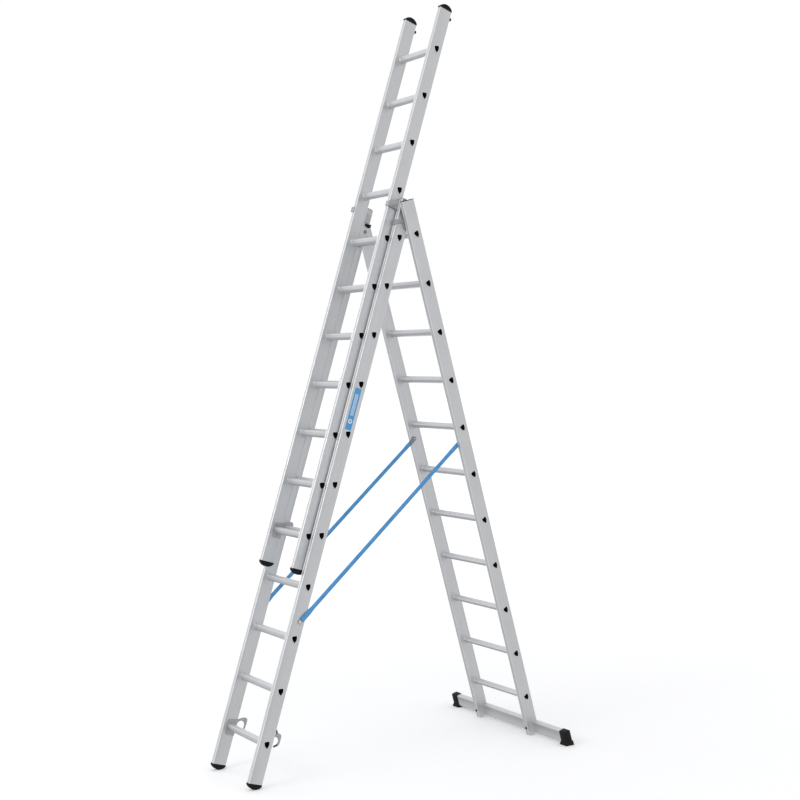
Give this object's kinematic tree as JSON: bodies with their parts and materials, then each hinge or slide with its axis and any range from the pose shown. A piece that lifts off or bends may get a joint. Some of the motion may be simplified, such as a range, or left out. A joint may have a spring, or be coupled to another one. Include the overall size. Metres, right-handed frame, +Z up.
{
  "type": "combination ladder",
  "caption": "Aluminium combination ladder: a main and a support section hinged as a trestle, with a sliding upper section, hooks, spreader straps and a stabiliser bar.",
  "frame": {"origin": "on the floor, under the middle of the whole ladder's box as it stands open", "axes": "+X along the rungs, to the side with the label; +Y from the climbing side to the stabiliser bar; +Z up"},
  "size_m": [1.098, 1.9484, 4.2188],
  "materials": {
    "extruded_aluminium": "extruded, lightly brushed, satin",
    "cast_aluminium": "die cast, matte, fine grain",
    "black_plastic": "moulded, fine texture, worn soles",
    "zinc_steel": "zinc plated",
    "black_steel": "black oxide",
    "blue_webbing": "woven polyester webbing",
    "printed_label": "printed film with plain bands"
  },
  "bodies": {
    "main_section": {"main_stile_left": "extruded_aluminium", "main_stile_right": "extruded_aluminium", "main_rungs": "extruded_aluminium", "main_foot_left": "black_plastic", "main_foot_right": "black_plastic", "main_plug_left": "black_plastic", "main_plug_right": "black_plastic", "guide_left": "cast_aluminium", "guide_right": "cast_aluminium", "hinge_bracket_left": "cast_aluminium", "hinge_bracket_right": "cast_aluminium", "hinge_pin_left": "zinc_steel", "hinge_pin_right": "zinc_steel", "hinge_latch_left": "black_plastic", "hinge_latch_right": "black_plastic", "main_hook_left": "cast_aluminium", "main_hook_right": "cast_aluminium", "main_catch_pin": "zinc_steel", "side_label": "printed_label", "strap_left": "blue_webbing", "strap_right": "blue_webbing", "strap_tabs_main": "zinc_steel", "strap_rivets_main": "zinc_steel"},
    "main_safety_catch": {"main_catch": "cast_aluminium"},
    "upper_section": {"upper_stile_left": "extruded_aluminium", "upper_stile_right": "extruded_aluminium", "upper_rungs": "extruded_aluminium", "upper_top_cap_left": "black_plastic", "upper_top_cap_right": "black_plastic", "upper_bottom_cap_left": "black_plastic", "upper_bottom_cap_right": "black_plastic", "upper_bumper_left": "black_plastic", "upper_bumper_right": "black_plastic", "upper_hook_left": "cast_aluminium", "upper_hook_right": "cast_aluminium", "upper_catch_pin": "zinc_steel"},
    "upper_safety_catch": {"upper_catch": "cast_aluminium"},
    "support_section": {"strap_tabs_support": "zinc_steel", "strap_rivets_support": "zinc_steel", "support_stile_left": "extruded_aluminium", "support_stile_right": "extruded_aluminium", "support_rungs": "extruded_aluminium", "support_plug_left": "black_plastic", "support_plug_right": "black_plastic", "stabiliser_bar": "extruded_aluminium", "bar_cap_left": "black_plastic", "bar_cap_right": "black_plastic", "bar_bracket_left": "cast_aluminium", "bar_bracket_right": "cast_aluminium", "bar_bolts": "black_steel"}
  },
  "joints": [
    {"name": "support_fold", "type": "hinge", "parent": "main_section", "child": "support_section", "pos_m": [0, 0.01633, 2.96558], "axis": [1, 0, 0], "range_deg": [-32.1, 0], "deforming": ["strap_left", "strap_right"]},
    {"name": "upper_slide", "type": "slide", "parent": "main_section", "child": "upper_section", "axis": [0, 0.299, 0.9542], "range_m": [-1.12, 0.56]},
    {"name": "main_catch_turn", "type": "hinge", "parent": "main_section", "child": "main_safety_catch", "pos_m": [0.185, -0.78295, 0.25454], "axis": [1, 0, 0], "range_deg": [0, 45], "stiffness_Nm_per_rad": 0.03, "springref_deg": -20.05},
    {"name": "upper_catch_turn", "type": "hinge", "parent": "upper_section", "child": "upper_safety_catch", "pos_m": [0.149, -0.50679, 1.3197], "axis": [1, 0, 0], "range_deg": [0, 45], "stiffness_Nm_per_rad": 0.03, "springref_deg": -20.05}
  ]
}
